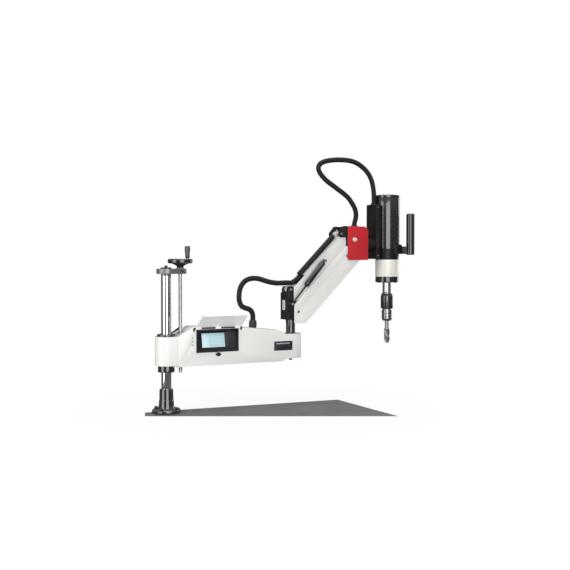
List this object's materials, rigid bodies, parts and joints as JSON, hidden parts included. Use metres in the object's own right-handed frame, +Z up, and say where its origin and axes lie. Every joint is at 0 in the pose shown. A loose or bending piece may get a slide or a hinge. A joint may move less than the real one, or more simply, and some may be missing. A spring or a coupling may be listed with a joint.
{
  "type": "arm tapping machine",
  "caption": "Column mounted tapping machine with a swinging control arm, a gas sprung parallelogram arm and a tilting servo driven tap head.",
  "frame": {"origin": "centre of the base flange's underside, on the column's axis", "axes": "+Z up along the column, +X along both arms as they stand in line, -Y the side of the screen"},
  "size_m": [1.2243, 0.1894, 1.0675],
  "materials": {
    "black_enamel": "gloss black enamel",
    "hard_chrome": "polished hard chrome",
    "bright_steel": "ground steel",
    "grey_casting": "machined grey plate",
    "white_enamel": "fine textured white enamel",
    "white_lid": "white moulded lid",
    "red_enamel": "gloss red enamel",
    "cream_enamel": "satin cream enamel",
    "bronze": "bearing bronze",
    "black_plastic": "moulded black plastic",
    "panel_black": "satin black plastic",
    "screen": "lit pale blue screen",
    "conduit_black": "ribbed black conduit",
    "gland_grey": "dark grey gland",
    "motor_alloy": "black anodised and lacquered alloy",
    "cast_alloy": "black coated alloy casting",
    "blued_steel": "blackened steel",
    "tool_steel": "ground tool steel",
    "drive_grey": "grey drive housing"
  },
  "bodies": {
    "stand": {"base_flange": "black_enamel", "column_tube": "hard_chrome", "column_cap": "blued_steel"},
    "swing": {"top_yoke": "grey_casting", "screw_bearing": "bronze"},
    "screw": {"lead_screw": "bright_steel", "handwheel": "black_plastic", "crank_pin": "bright_steel"},
    "grip": {"crank_grip": "black_plastic"},
    "carriage": {"column_carriage": "white_enamel", "upper_bush": "black_enamel", "lower_collar": "black_enamel", "lift_nut": "bronze", "control_box": "white_enamel", "box_back_cover": "white_enamel", "hmi_bezel": "panel_black", "lcd_screen": "screen", "lid_hinge_rod": "black_plastic", "indicator_lamps": "bright_steel", "hose_gland": "gland_grey", "servo_drive": "drive_grey", "swivel_post": "black_enamel", "post_bolt": "blued_steel", "arm_hose": "conduit_black"},
    "lock": {"lock_lever": "black_plastic"},
    "lid": {"window_lid": "white_lid"},
    "latch": {"lid_latch": "black_plastic"},
    "swivel": {"swivel_block": "cast_alloy", "swivel_bushes": "bronze", "rear_link_pins": "bright_steel", "spring_foot_stud": "bright_steel", "link_hose": "conduit_black"},
    "tie": {"upper_link": "white_enamel", "cable_duct": "black_plastic", "spring_head_stud": "bright_steel"},
    "boom": {"lower_link": "white_enamel"},
    "head": {"head_bracket": "cast_alloy", "head_cover": "red_enamel", "head_gland": "gland_grey", "front_link_pins": "bright_steel", "head_hose": "conduit_black"},
    "spring_tube": {"gas_cylinder": "black_enamel"},
    "spring_rod": {"gas_rod": "blued_steel"},
    "motor": {"roll_shaft": "bright_steel", "motor_back_plate": "cast_alloy", "motor_cover": "motor_alloy", "motor_cap": "motor_alloy", "servo_motor": "drive_grey", "gearbox": "cast_alloy", "spacer_ring": "cream_enamel", "bearing_ring": "cast_alloy", "handle_bracket": "cast_alloy", "handle_grip": "black_plastic"},
    "start": {"start_button": "black_plastic"},
    "reverse": {"reverse_button": "black_plastic"},
    "spindle": {"spindle_shaft": "bright_steel", "chuck_body": "blued_steel", "tap": "tool_steel"},
    "sleeve": {"chuck_sleeve": "blued_steel"}
  },
  "joints": [
    {"name": "arm_swing", "type": "hinge", "parent": "stand", "child": "swing", "pos_m": [0, 0, 0.56], "axis": [0, 0, 1], "range_deg": [-170, 170]},
    {"name": "screw_turn", "type": "hinge", "parent": "swing", "child": "screw", "pos_m": [0.06, 0, 0.56], "axis": [0, 0, 1], "range_deg": [-14410, 3250]},
    {"name": "lift", "type": "slide", "parent": "swing", "child": "carriage", "axis": [0, 0, 1], "range_m": [-0.045, 0.2]},
    {"name": "grip_spin", "type": "hinge", "parent": "screw", "child": "grip", "pos_m": [0.09348, 0.0059, 0.64], "axis": [0, 0, 1], "continuous": true},
    {"name": "lock_turn", "type": "hinge", "parent": "carriage", "child": "lock", "pos_m": [0.024, 0.026, 0.306], "axis": [0, 0, 1], "range_deg": [0, 100]},
    {"name": "lid_hinge", "type": "hinge", "parent": "carriage", "child": "lid", "pos_m": [0.2, -0.05, 0.337], "axis": [1, 0, 0], "range_deg": [0, 124.5]},
    {"name": "latch_turn", "type": "hinge", "parent": "carriage", "child": "latch", "pos_m": [0.206, -0.045, 0.229], "axis": [0, 1, 0], "range_deg": [0, 90]},
    {"name": "arm_swivel", "type": "hinge", "parent": "carriage", "child": "swivel", "pos_m": [0.561, 0, 0.4], "axis": [0, 0, 1], "range_deg": [-120, 120], "deforming": ["arm_hose"]},
    {"name": "link_lift", "type": "hinge", "parent": "swivel", "child": "boom", "pos_m": [0.578, 0, 0.3925], "axis": [0, -1, 0], "range_deg": [-53, 12], "deforming": ["link_hose"]},
    {"name": "tie_pivot", "type": "hinge", "parent": "swivel", "child": "tie", "pos_m": [0.548, 0, 0.4875], "axis": [0, -1, 0], "range_deg": [-54, 13]},
    {"name": "head_level", "type": "hinge", "parent": "boom", "child": "head", "pos_m": [0.81996, 0, 0.63278], "axis": [0, -1, 0], "range_deg": [-13, 54]},
    {"name": "spring_foot", "type": "hinge", "parent": "swivel", "child": "spring_rod", "pos_m": [0.54, -0.057, 0.427], "axis": [0, -1, 0], "range_deg": [-45.2, 11]},
    {"name": "spring_head", "type": "hinge", "parent": "tie", "child": "spring_tube", "pos_m": [0.69763, -0.057, 0.61072], "axis": [0, -1, 0], "range_deg": [-3, 9.8]},
    {"name": "head_roll", "type": "hinge", "parent": "head", "child": "motor", "pos_m": [0.97096, 0, 0.688], "axis": [1, 0, 0], "range_deg": [-90, 90], "deforming": ["head_hose"]},
    {"name": "spindle_turn", "type": "hinge", "parent": "motor", "child": "spindle", "pos_m": [1.05596, 0, 0.5], "axis": [0, 0, -1], "continuous": true},
    {"name": "sleeve_slide", "type": "slide", "parent": "spindle", "child": "sleeve", "axis": [0, 0, -1], "range_m": [0, 0.005], "stiffness_N_per_m": 3000, "springref_m": -0.004},
    {"name": "start_press", "type": "slide", "parent": "motor", "child": "start", "axis": [-0.342, 0.9397, 0], "range_m": [0, 0.0015], "stiffness_N_per_m": 1000, "springref_m": -0.001},
    {"name": "reverse_press", "type": "slide", "parent": "motor", "child": "reverse", "axis": [-0.342, 0.9397, 0], "range_m": [0, 0.0015], "stiffness_N_per_m": 1000, "springref_m": -0.001}
  ],
  "couplings": [
    {"joint": "screw_turn", "follows": "lift", "rad_per_m": -1256.6},
    {"joint": "tie_pivot", "follows": "link_lift", "ratio": 1},
    {"joint": "head_level", "follows": "link_lift", "ratio": -1},
    {"joint": "spring_foot", "follows": "link_lift", "ratio": 0.8335},
    {"joint": "spring_head", "follows": "link_lift", "ratio": -0.1665}
  ]
}
